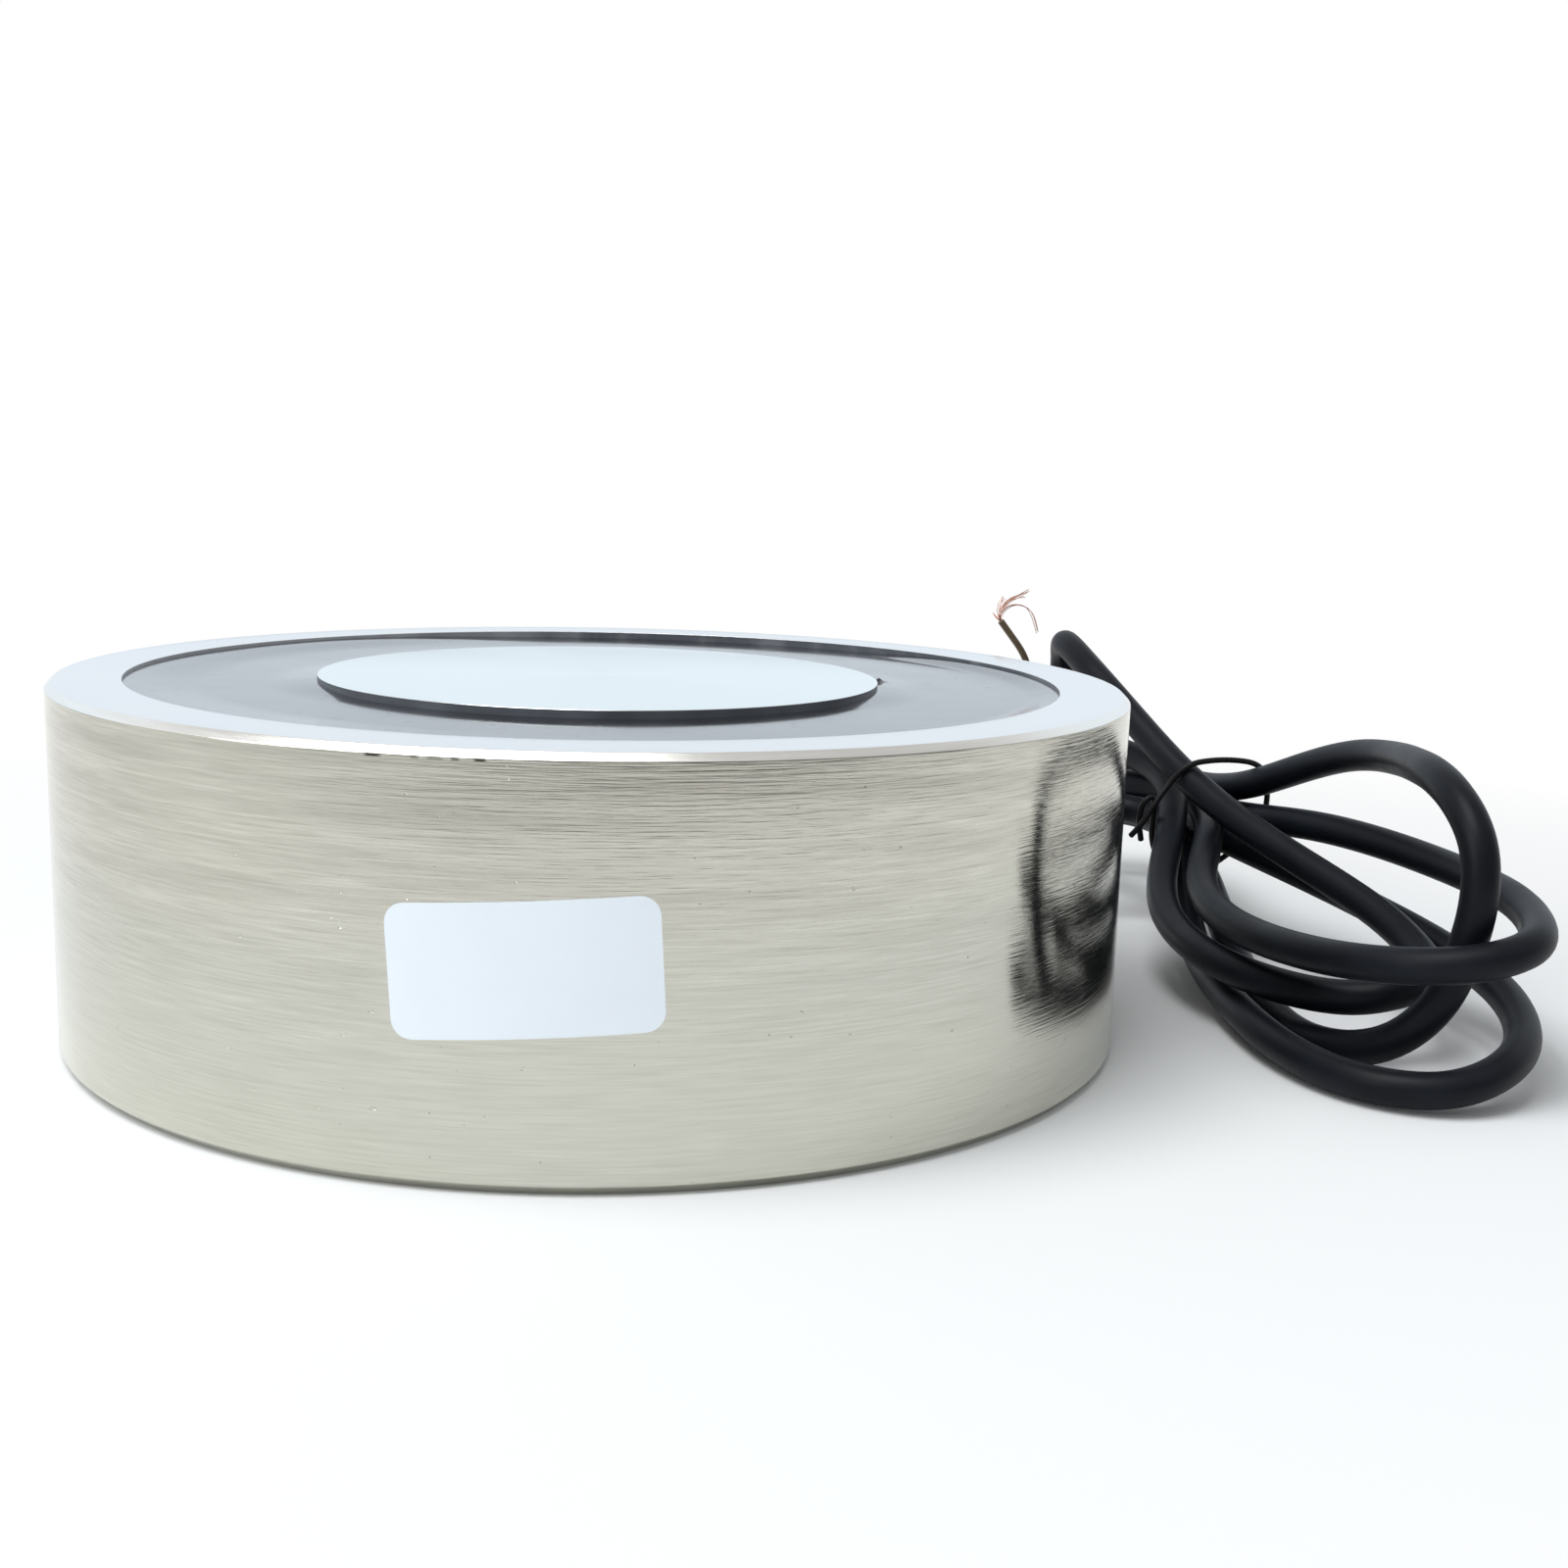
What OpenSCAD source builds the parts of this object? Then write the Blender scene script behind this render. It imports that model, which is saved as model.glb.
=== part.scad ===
// Round holding electromagnet: a plated steel pot with a centre pole, a coil sealed under
// black resin, and a thin two-core cable that lies beside it in a tied hank.
// Millimetres. The origin is the centre of the mounting face and +Z points to the holding face.

/* [Pot] */
// Outside diameter of the pot
pot_d = 150; // [142:1:170]
// Height from the mounting face to the holding face
pot_h = 50; // [44:1:60]
// Bore of the pot, the outer wall of the coil channel
bore_d = 130.5; // [127:0.5:134]
// Thickness of the pot's floor
floor_t = 16; // [10:0.5:17]
// Chamfer round the holding face
rim_chamfer = 0.9; // [0.3:0.1:2]
// Chamfer round the mounting face
foot_chamfer = 1.3; // [0.5:0.1:3]
// Broken edge on both sides of the coil channel
edge_break = 0.3; // [0.1:0.1:0.6]

/* [Pole] */
// Diameter of the centre pole
pole_d = 79.3; // [70:0.1:84]
// Diameter of the pole's spigot in the floor
spigot_d = 50; // [40:1:60]
// Gap round the spigot
spigot_gap = 0.02; // [0:0.01:0.1]
// Tapping bore of the mounting thread
thread_bore_d = 10.2; // [8.5:0.1:14]
// Depth of the mounting thread
thread_depth = 20; // [14:1:28]
// Countersink at the mouth of the thread
thread_mouth = 0.8; // [0.4:0.1:1.5]
// Point angle of the tapping drill
drill_angle = 118; // [90:1:140]

/* [Coil] */
// Outside diameter of the bobbin's flanges
bobbin_d = 116; // [108:1:119]
// Wall of the bobbin's hub and flanges
bobbin_wall = 1.5; // [1:0.1:3]
// Gap between the bobbin and the pole
bobbin_gap = 0.3; // [0.1:0.05:0.8]
// Inset of the tape from the flanges' edge
tape_inset = 1.5; // [0.5:0.1:3]
// Thickness of the tape wound over the coil
tape_t = 0.5; // [0.2:0.1:1.5]

/* [Resin] */
// Depth of the resin's surface below the holding face
resin_recess = 1.1; // [0.6:0.1:2]
// Depth of resin over the bobbin
resin_cover = 4.9; // [2:0.1:8]
// Height that the resin's edge creeps up the walls
meniscus = 0.4; // [0.1:0.1:0.5]

/* [Cable] */
// Diameter of the cable's sheath
cable_d = 5; // [4.4:0.1:5.2]
// Diameter of each insulated core
core_d = 1.3; // [1:0.1:1.6]
// Distance between the two cores' centres in the sheath
core_pitch = 1.9; // [1.7:0.1:2.2]
// Diameter of a copper strand
strand_d = 0.2; // [0.1:0.05:0.3]
// Diameter of the coil's lead-out wires
lead_d = 0.9; // [0.6:0.1:1.2]
// Outside diameter of the splice sleeves
splice_d = 2.8; // [2.4:0.1:3.4]
// Gap between a sleeve and the core in it
splice_gap = 0.2; // [0.1:0.05:0.3]

/* [Grommet] */
// Outside diameter of the grommet in the wall
grommet_d = 9; // [7.5:0.5:12]
// Gap between the grommet and its hole
grommet_gap = 0.05; // [0:0.05:0.2]
// Gap between the grommet and the sheath
sheath_gap = 0.1; // [0.05:0.05:0.3]
// Diameter of the collar against the pot's wall
collar_d = 13; // [12.5:0.5:16]
// Thickness of the collar
collar_t = 2; // [1:0.1:3]
// Distance that the nozzle stands out of the wall
nozzle_out = 6; // [4:0.5:8]
// Wall of the nozzle at its tip
nozzle_wall = 1; // [0.6:0.1:1.6]

/* [Tie] */
// Thickness of the twist tie
tie_d = 1; // [0.8:0.1:1.4]

/* [Label] */
// Width of the label round the wall
label_w = 30.5; // [20:0.5:45]
// Height of the label
label_h = 15.4; // [10:0.1:24]
// Corner radius of the label
label_r = 2.3; // [1:0.1:4]
// Thickness of the label
label_t = 0.12; // [0.05:0.01:0.3]
// Turn of the label's centre from the front, to the right
label_turn = -6.2; // [-60:0.1:20]
// Height of the label's centre
label_z = 26; // [18:0.1:32]
// Tilt of the label, right side up
label_tilt = 3.5; // [-6:0.5:6]

/* [Hidden] */

// Facets of the round solids
$fn = 96;
// Sides of the cable's tube, of the thin wires and of the copper strands
cable_sides = 10;
wire_sides = 8;
strand_sides = 5;

// Radii used more than once
pot_r = pot_d / 2;
bore_r = bore_d / 2;
pole_r = pole_d / 2;
bobbin_r = bobbin_d / 2;
hub_r = pole_r + bobbin_gap + bobbin_wall;
tape_r = bobbin_r - tape_inset;
wind_r = tape_r - tape_t;

// Heights in the coil channel
resin_z = pot_h - resin_recess;
bobbin_top = resin_z - resin_cover;
wind_bottom = floor_t + bobbin_wall;
wind_top = bobbin_top - bobbin_wall;

// Steps of the resin's edge and half angle of the bay that it leaves for the wiring
meniscus_steps = 4;
bay_angle = 36;

// Depth that a cut runs past the face that it opens
over = 1;

// Route of the cable: out of the pot, down to the floor and through four long turns that the
// tie gathers, with the cut end standing up behind the rim
cable_route = [
    [52.8, 39.6, 22], [68, 51, 22], [77.6, 58.2, 22], [87.5, 63.4, 20.7], [95.8, 62.3, 20.3], [100.6, 54.2, 19.4],
    [99.7, 40.8, 12.4], [96.8, 25.4, 5.1], [94.6, 6.6, 3.7], [92.9, -14.2, 3.6], [93.9, -32.2, 3.1], [99.2, -44.6, 2.8],
    [109.4, -50, 3.1], [118.6, -46.4, 5.6], [125.6, -36.4, 6.6], [129.9, -21, 8.9], [126.7, -1.2, 11.7], [118.4, 19.3, 15],
    [110.5, 39.2, 17.3], [107.9, 59.9, 17.3], [110.6, 79.6, 15.4], [110.8, 93.4, 14], [105.1, 99.6, 13.8], [97.3, 99.5, 14.3],
    [92.1, 94.2, 14.6], [92.5, 85.9, 15.7], [98.5, 73.4, 18], [104.3, 57.8, 17.5], [105.2, 40.7, 9.8], [102.1, 19.9, 4.6],
    [98.7, -3.6, 3.2], [98.1, -23.9, 2.1], [105.1, -36.1, 4.4], [111.3, -39.3, 11.3], [113.7, -40, 18.6], [114.7, -41.6, 26.7],
    [114.7, -39.8, 35.4], [113.3, -30.5, 41], [115.7, -16.1, 40.7], [119.9, 1.3, 39.2], [120.2, 18.6, 37.4], [116.8, 33.1, 32.7],
    [111.8, 48.7, 26.1], [109.8, 68, 23.4], [110.2, 85, 22.6], [107.6, 96, 22.3], [100, 99.8, 22], [92.1, 97, 21.3],
    [89, 90.4, 20.9], [92.1, 82.4, 21.8], [100.5, 72.4, 23.3], [107.6, 59.1, 23], [105.2, 41.7, 19.7], [95.1, 19.5, 15.9],
    [91.9, -6.4, 14.9], [96.9, -29, 16.2], [102.8, -42.2, 18.2], [111.5, -47.8, 19.6], [120.6, -46.3, 21.5], [125.6, -36.7, 22.2],
    [129.7, -21.2, 22.5], [130.4, -3, 22.2], [125, 14.4, 23.3], [117.8, 28.1, 23.9], [111.9, 44.3, 21.9], [114, 68.4, 18.8],
    [114.6, 93.1, 19.1], [106.2, 107.9, 22.6], [93, 108.4, 25.8], [85.5, 99.2, 27.6], [88.9, 86.4, 28.9], [98, 72.1, 29.3],
    [102.9, 56.5, 26.1], [97, 40.7, 18.1], [89.5, 21.4, 11.5], [89.6, -0.1, 9.4], [94.7, -17.2, 9.1], [104, -27, 9],
    [111.3, -27.8, 11.1], [117.9, -23, 11.2], [122.2, -13.3, 9.6], [120.9, 1.8, 14.5], [111.2, 22.5, 19.9], [101.8, 43.9, 26.7],
    [94.1, 62.7, 38], [88, 78.3, 46.7], [87.8, 88.8, 48.4], [90, 95, 44], [90, 97, 36]
];

// Where the cable passes the wall, and the cut end of its sheath
exit_angle = atan2(cable_route[0][1], cable_route[0][0]);
exit_r = norm([cable_route[0][0], cable_route[0][1]]);
exit_z = cable_route[0][2];
cut_end = cable_route[len(cable_route) - 1];

// Mid radius of the wiring between the coil and the wall
wiring_r = (bobbin_r + bore_r) / 2;

// Routes of the two cores beyond the cut end of the sheath, as steps from that end:
// the brown one hooks up again beside the sheath, the blue one hangs below it
brown_steps = [
    [-core_pitch / 2, 0, 0], [-core_pitch / 2, 0.5, -2], [-2.2, 0.8, -4.4], [-4.6, 0.8, -4.4], [-6.2, 0.4, -1.5], [-6.2, -0.2, 4],
    [-7.6, -0.8, 8.2], [-10.2, -1, 11.5], [-12.8, -1, 14.8]
];
blue_steps = [
    [core_pitch / 2, 0, 0], [core_pitch / 2, 0.5, -2], [2, 0, -4.6], [3.6, -1.4, -6.6], [5.4, -3, -7.4]
];
brown_route = [for (s = brown_steps) cut_end + s];
blue_route = [for (s = blue_steps) cut_end + s];

// Free copper strands, as steps from the end of the core's insulation
brown_fan = [
    [[0, 0, 0], [-0.3, 0, 1.2], [0.8, 0, 3.6], [2.6, 0, 5], [5.4, 0, 5.9]],
    [[0, 0, 0], [-0.2, 0.2, 1], [1.2, 0.2, 3], [3.4, 0.3, 3.6], [6.2, 0.4, 2.4], [7.4, 0.5, -1.8]],
    [[0, 0, 0], [-0.4, -0.2, 1], [0.6, -0.4, 3], [2, -0.6, 4.4], [4.2, -0.8, 4.8]],
    [[0, 0, 0], [-0.6, 0, 1], [-0.4, 0.2, 3], [0.4, 0.4, 4.6]],
    [[0, 0, 0], [-0.7, 0, 0.8], [-1.2, 0, 1.4]]
];
blue_fan = [
    [[0, 0, 0], [1, -0.6, -0.2], [2.6, -1.4, 0.2], [4, -2, 1]],
    [[0, 0, 0], [1, -0.6, -0.3], [2.8, -1.7, -0.6], [4.4, -2.8, -0.4]],
    [[0, 0, 0], [0.9, -0.8, -0.2], [2.2, -2.2, 0.2], [3, -3.6, 0.8]]
];

// Route of the tie: one twisted tail, once round all strands of the hank, the other tail
tie_route = [
    [90.9, 43.4, 18.6], [92.2, 42.6, 20.4], [93.4, 42.4, 22.4], [95, 42.8, 25], [97.4, 44.1, 27.7], [98.9, 43.6, 30],
    [101, 43.6, 31.4], [103.8, 44.1, 31.8], [106.7, 44.9, 31.9], [109.6, 45.8, 31.7], [112.4, 46.8, 31.3], [114.7, 47.8, 30.3],
    [116, 48.5, 28.2], [116.6, 49, 25.5], [116.7, 49.6, 22.5], [116.1, 50.1, 19.8], [114.4, 50.5, 17.4], [112.2, 50.9, 15.2],
    [109.7, 51.1, 13.1], [107.2, 51.1, 11.4], [104.6, 50.9, 10.5], [102, 50.3, 10.9], [99.5, 49.6, 12.2], [97.4, 48.7, 14],
    [96.1, 47.8, 16.4], [95.5, 46.8, 19.2], [95.5, 45.8, 22.2], [95.1, 44.9, 24.6], [94.4, 43.9, 25.6], [92.8, 43.6, 24.6],
    [92.3, 44.2, 21.6], [93.2, 44.6, 17.6]
];

function unit(v) = v / norm(v);

// A point at radius r and height z, turned by angle a from the cable's exit
function at(r, a, z) = [r * cos(exit_angle + a), r * sin(exit_angle + a), z];

// Smoothed ring centres of a route, with both ends kept
function ring_centre(p, i) =
    i == 0 || i == len(p) - 1 ? p[i] : (p[i - 1] + 4 * p[i] + p[i + 1]) / 6;

// The same smooth line with twice the steps
function halved(p) = [
    for (i = [0 : len(p) - 2])
        each [i == 0 ? p[0] : (p[i - 1] + 6 * p[i] + p[i + 1]) / 8, (p[i] + p[i + 1]) / 2],
    p[len(p) - 1]
];

// Directions of a route at its points
function heading(p, i) = unit(p[min(i + 1, len(p) - 1)] - p[max(i - 1, 0)]);

// A direction square to t, as near as possible to u
function square_to(t, u) = unit(u - (u * t) * t);

// Any direction square to t
function any_square(t) = square_to(t, abs(t[2]) < 0.9 ? [0, 0, 1] : [1, 0, 0]);

// One side direction for each ring, carried along the route without twist
function side_dirs(p) = [
    for (i = 0, u = any_square(heading(p, 0)); i < len(p);
         i = i + 1, u = square_to(heading(p, min(i, len(p) - 1)), u)) u
];

// Corners of all rings of a tube of diameter d with n sides
function tube_points(p, d, n) = [
    let (sides = side_dirs(p))
    for (i = [0 : len(p) - 1])
        let (u = sides[i], w = cross(heading(p, i), u))
        for (k = [0 : n - 1])
            ring_centre(p, i) + d / 2 * (cos(360 * k / n) * u + sin(360 * k / n) * w)
];

// Faces of a tube of m rings with n sides: two triangles a side, and both ends closed
function tube_faces(m, n) = concat(
    [for (i = [0 : m - 2]) for (k = [0 : n - 1]) [i * n + k, (i + 1) * n + k, i * n + (k + 1) % n]],
    [for (i = [0 : m - 2]) for (k = [0 : n - 1])
        [i * n + (k + 1) % n, (i + 1) * n + k, (i + 1) * n + (k + 1) % n]],
    [[for (k = [0 : n - 1]) k]],
    [[for (k = [n - 1 : -1 : 0]) (m - 1) * n + k]]
);

// Tube of diameter d with n sides along a route
module tube(route, d, n) {
    polyhedron(points = tube_points(route, d, n), faces = tube_faces(len(route), n), convexity = 10);
}

// Ring between radii ra and rb from height za to zb
module ring(ra, rb, za, zb) {
    rotate_extrude()
        translate([ra, za])
            square([rb - ra, zb - za]);
}

// Cylinder along the cable's exit, from radius ra to rb
module exit_cylinder(d, ra, rb) {
    rotate([0, 0, exit_angle])
        translate([ra, 0, exit_z])
            rotate([0, 90, 0])
                cylinder(d = d, h = rb - ra);
}

// Rectangle with round corners
module round_rectangle(w, h, r) {
    square([w - 2 * r, h], center = true);
    square([w, h - 2 * r], center = true);
    for (x = [-1, 1])
        for (y = [-1, 1])
            translate([x * (w / 2 - r), y * (h / 2 - r)])
                circle(r = r);
}

// Steel pot: floor, wall, level rim and the cable's hole
module pot_shell() {
    color([0.79, 0.78, 0.74])
        difference() {
            rotate_extrude()
                polygon([
                    [spigot_d / 2 + spigot_gap, 0],
                    [pot_r - foot_chamfer, 0],
                    [pot_r, foot_chamfer],
                    [pot_r, pot_h - rim_chamfer],
                    [pot_r - rim_chamfer, pot_h],
                    [bore_r + edge_break, pot_h],
                    [bore_r, pot_h - edge_break],
                    [bore_r, floor_t],
                    [spigot_d / 2 + spigot_gap, floor_t]
                ]);
            exit_cylinder(grommet_d + 2 * grommet_gap, bore_r - over, pot_r + over);
        }
}

// Turned centre pole, pressed into the floor, with the mounting thread in its spigot
module centre_pole() {
    color([0.88, 0.9, 0.92])
        rotate_extrude()
            polygon([
                [0, pot_h],
                [pole_r - edge_break, pot_h],
                [pole_r, pot_h - edge_break],
                [pole_r, floor_t],
                [spigot_d / 2, floor_t],
                [spigot_d / 2, 0],
                [thread_bore_d / 2 + thread_mouth, 0],
                [thread_bore_d / 2, thread_mouth],
                [thread_bore_d / 2, thread_depth],
                [0, thread_depth + thread_bore_d / 2 / tan(drill_angle / 2)]
            ]);
}

// Spool that carries the winding
module coil_bobbin() {
    color([0.16, 0.16, 0.17])
        union() {
            ring(pole_r + bobbin_gap, hub_r, floor_t, bobbin_top);
            ring(pole_r + bobbin_gap, bobbin_r, floor_t, wind_bottom);
            ring(pole_r + bobbin_gap, bobbin_r, wind_top, bobbin_top);
        }
}

// Enamelled copper winding
module coil_winding() {
    color([0.72, 0.4, 0.2])
        ring(hub_r, wind_r, wind_bottom, wind_top);
}

// Tape over the winding, with a hole for each lead-out wire
module coil_tape() {
    color([0.85, 0.75, 0.3])
        difference() {
            ring(wind_r, tape_r, wind_bottom, wind_top);
            for (side = [-1, 1])
                rotate([0, 0, exit_angle + side * lead_in_angle])
                    translate([wind_r - over, 0, lead_in_z(side)])
                        rotate([0, 90, 0])
                            cylinder(d = lead_d + 2 * splice_gap, h = tape_t + 2 * over);
        }
}

// Black resin over and round the coil, with a raised edge along both walls and a bay for the wiring
module potting_resin() {
    color([0.05, 0.05, 0.06])
        difference() {
            rotate_extrude()
                polygon(concat(
                    [[pole_r, bobbin_top]],
                    [for (i = [0 : meniscus_steps])
                        let (a = 90 * i / meniscus_steps)
                        [pole_r + meniscus * (1 - cos(a)), resin_z + meniscus * (1 - sin(a))]],
                    [for (i = [meniscus_steps : -1 : 0])
                        let (a = 90 * i / meniscus_steps)
                        [bore_r - meniscus * (1 - cos(a)), resin_z + meniscus * (1 - sin(a))]],
                    [[bore_r, floor_t], [bobbin_r, floor_t], [bobbin_r, wind_bottom], [tape_r, wind_bottom],
                     [tape_r, wind_top], [bobbin_r, wind_top], [bobbin_r, bobbin_top]]
                ));
            rotate([0, 0, exit_angle - bay_angle])
                rotate_extrude(angle = 2 * bay_angle)
                    translate([tape_r - over, floor_t - over])
                        square([bore_r - tape_r + 2 * over, bobbin_top - floor_t + over]);
        }
}

// Wiring angles from the exit: ends of the splice sleeves, of core and lead in them, and
// the place where a lead passes the tape
splice_from = 8;
splice_to = 18;
core_to = 12.5;
lead_from = 13.5;
lead_in_angle = 31;

// Distance of the lead-out wires from the bobbin's flanges
lead_margin = 2;

// Height at which a lead passes the tape: the start of the coil below, its finish above
function lead_in_z(side) = side < 0 ? wind_bottom + lead_margin : wind_top - lead_margin;

// Core from the sheath's inner end into its splice
module core_root(side) {
    first = side * asin(core_pitch / 2 / exit_r);
    tube([
        at(exit_r, first, exit_z),
        at((exit_r + wiring_r) / 2, first, exit_z),
        at(wiring_r, side * splice_from / 4, exit_z),
        at(wiring_r, side * splice_from / 2, exit_z),
        at(wiring_r, side * splice_from, exit_z),
        at(wiring_r, side * core_to, exit_z)
    ], core_d, wire_sides);
}

// Sleeve over the joint of a core and a lead-out wire
module splice(side) {
    rotate([0, 0, exit_angle + (side < 0 ? -splice_to : splice_from)])
        translate([0, 0, exit_z])
            rotate_extrude(angle = splice_to - splice_from)
                translate([wiring_r, 0])
                    difference() {
                        circle(d = splice_d);
                        circle(d = core_d + 2 * splice_gap);
                    }
}

// Lead-out wire from its splice, through the tape to the winding
module coil_lead(side) {
    z_in = lead_in_z(side);
    z_mid = (exit_z + z_in) / 2;
    tube([
        at(wiring_r, side * lead_from, exit_z),
        at(wiring_r, side * splice_to, exit_z),
        at(wiring_r, side * (splice_to + 3), exit_z),
        at(wiring_r, side * (lead_in_angle - 7), z_mid),
        at(wiring_r, side * (lead_in_angle - 3), z_in),
        at(wiring_r, side * lead_in_angle, z_in),
        at((wiring_r + tape_r) / 2, side * lead_in_angle, z_in),
        at(tape_r, side * lead_in_angle, z_in),
        at(wind_r, side * lead_in_angle, z_in)
    ], lead_d, wire_sides);
}

module start_lead() {
    color([0.72, 0.4, 0.2])
        coil_lead(-1);
}

module finish_lead() {
    color([0.72, 0.4, 0.2])
        coil_lead(1);
}

module start_splice() {
    color([0.1, 0.1, 0.1])
        splice(-1);
}

module finish_splice() {
    color([0.1, 0.1, 0.1])
        splice(1);
}

module brown_core_root() {
    color([0.3, 0.2, 0.13])
        core_root(-1);
}

module blue_core_root() {
    color([0.1, 0.25, 0.6])
        core_root(1);
}

// Rubber grommet: a sleeve in the wall, a collar against it and a tapered nozzle
module cable_grommet() {
    hole = cable_d + 2 * sheath_gap;
    color([0.08, 0.08, 0.09])
        difference() {
            union() {
                exit_cylinder(grommet_d, bore_r, pot_r + collar_t);
                difference() {
                    exit_cylinder(collar_d, pot_r - over, pot_r + collar_t);
                    cylinder(r = pot_r, h = pot_h);
                }
                rotate([0, 0, exit_angle])
                    translate([pot_r + collar_t, 0, exit_z])
                        rotate([0, 90, 0])
                            cylinder(d1 = grommet_d, d2 = hole + 2 * nozzle_wall, h = nozzle_out - collar_t);
            }
            exit_cylinder(hole, bore_r - over, pot_r + nozzle_out + over);
        }
}

// Black sheath of the cable along its whole route
module cable_sheath() {
    color([0.09, 0.09, 0.1])
        tube(halved(cable_route), cable_d, cable_sides);
}

module brown_core_end() {
    color([0.3, 0.2, 0.13])
        tube(brown_route, core_d, wire_sides);
}

module blue_core_end() {
    color([0.1, 0.25, 0.6])
        tube(blue_route, core_d, wire_sides);
}

// Bare strands that fan out of the end of a core
module strand_fan(root, fan) {
    for (steps = fan)
        tube([for (s = steps) root + s], strand_d, strand_sides);
}

module brown_strands() {
    color([0.72, 0.42, 0.3])
        strand_fan(brown_route[len(brown_route) - 1], brown_fan);
}

module blue_strands() {
    color([0.72, 0.42, 0.3])
        strand_fan(blue_route[len(blue_route) - 1], blue_fan);
}

// Twist tie round the hank
module bundle_tie() {
    color([0.07, 0.07, 0.07])
        tube(halved(tie_route), tie_d, wire_sides);
}

// Plain white label that follows the wall
module blank_label() {
    color([0.96, 0.96, 0.97])
        intersection() {
            ring(pot_r, pot_r + label_t, 0, pot_h);
            rotate([0, 0, label_turn - 90])
                translate([0, 0, label_z])
                    rotate([label_tilt, 0, 0])
                        rotate([90, 0, 90])
                            linear_extrude(pot_d)
                                round_rectangle(label_w, label_h, label_r);
        }
}

pot_shell();
centre_pole();
coil_bobbin();
coil_winding();
coil_tape();
potting_resin();
start_lead();
finish_lead();
start_splice();
finish_splice();
brown_core_root();
blue_core_root();
cable_grommet();
cable_sheath();
brown_core_end();
blue_core_end();
brown_strands();
blue_strands();
bundle_tie();
blank_label();
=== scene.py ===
import math
import random

import bmesh
import bpy
from mathutils import Matrix, Vector
from mathutils import noise as field


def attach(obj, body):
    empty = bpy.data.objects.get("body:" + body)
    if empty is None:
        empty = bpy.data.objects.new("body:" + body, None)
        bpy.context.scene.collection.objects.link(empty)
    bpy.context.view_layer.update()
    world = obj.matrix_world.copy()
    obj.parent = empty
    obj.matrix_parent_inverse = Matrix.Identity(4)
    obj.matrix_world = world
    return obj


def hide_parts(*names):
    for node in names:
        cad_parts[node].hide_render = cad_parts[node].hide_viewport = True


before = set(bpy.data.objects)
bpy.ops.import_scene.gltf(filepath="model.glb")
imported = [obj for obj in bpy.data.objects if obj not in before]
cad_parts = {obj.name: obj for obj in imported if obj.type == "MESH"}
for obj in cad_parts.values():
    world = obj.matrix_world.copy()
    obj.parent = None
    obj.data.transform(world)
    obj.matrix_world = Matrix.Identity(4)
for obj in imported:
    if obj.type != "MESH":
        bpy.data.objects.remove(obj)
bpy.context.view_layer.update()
random.seed(11)

# Sizes in millimetres and turns in degrees, most of them as in the solids
MM = 0.001
POT_R = 75.0
POT_H = 50.0
BORE_R = 65.25
POLE_R = 39.65
FLOOR_T = 16.0
SPIGOT_R = 25.0
SPIGOT_GAP = 0.02
RIM_CHAMFER = 0.9
FOOT_CHAMFER = 1.3
SHARP_EDGE = 0.07
RESIN_Z = 48.95
RESIN_BOTTOM = 44.0
MENISCUS = 0.6
UNEVENNESS = 0.09
LEFT_CREEP = 11.0
RIGHT_CREEP = 5.0
POLE_CREEP = 7.0
DROP_AT = (40.5, 2.0)
DROP_H = 0.7
THREAD_R = 5.1
THREAD_DEPTH = 20.0
THREAD_MOUTH = 0.8
THREAD_PITCH = 1.75
THREAD_CUT = 0.9
CABLE_D = 5.0
CORE_D = 1.3
STRAND_D = 0.14
TIE_D = 1.0
EXIT_DIR = Vector((0.8, 0.6, 0.0))
EXIT_Z = 22.0
EXIT_BORE_R = 4.55
EXIT_CUT = (60, 80)
GROMMET_R = 4.5
GROMMET_GAP = 0.1
COLLAR_R = 6.5
COLLAR_SEAT = 0.3
COLLAR_T = 2
NOZZLE_WALL = 1
NOZZLE_OUT = 6
LABEL_W = 30.5
LABEL_H = 15.4
LABEL_R = 2.3
LABEL_T = 0.12
LABEL_SEAT = 0.01
LABEL_TURN = -6.2
LABEL_Z = 26.0
LABEL_TILT = 3.5

# Fineness of the meshes
POT_SEGMENTS = 384
POLE_SEGMENTS = 192
RESIN_SEGMENTS = 576
RESIN_EDGE_RINGS = (0.0, 0.15, 0.35, 0.6, 0.9, 1.2)
RESIN_MIDDLE_RINGS = 40
SMALL_SEGMENTS = 64
ROWS_PER_TURN = 10
LABEL_COLUMNS = 30
LABEL_ROWS = 12
LABEL_ARC_STEP = 15

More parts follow.
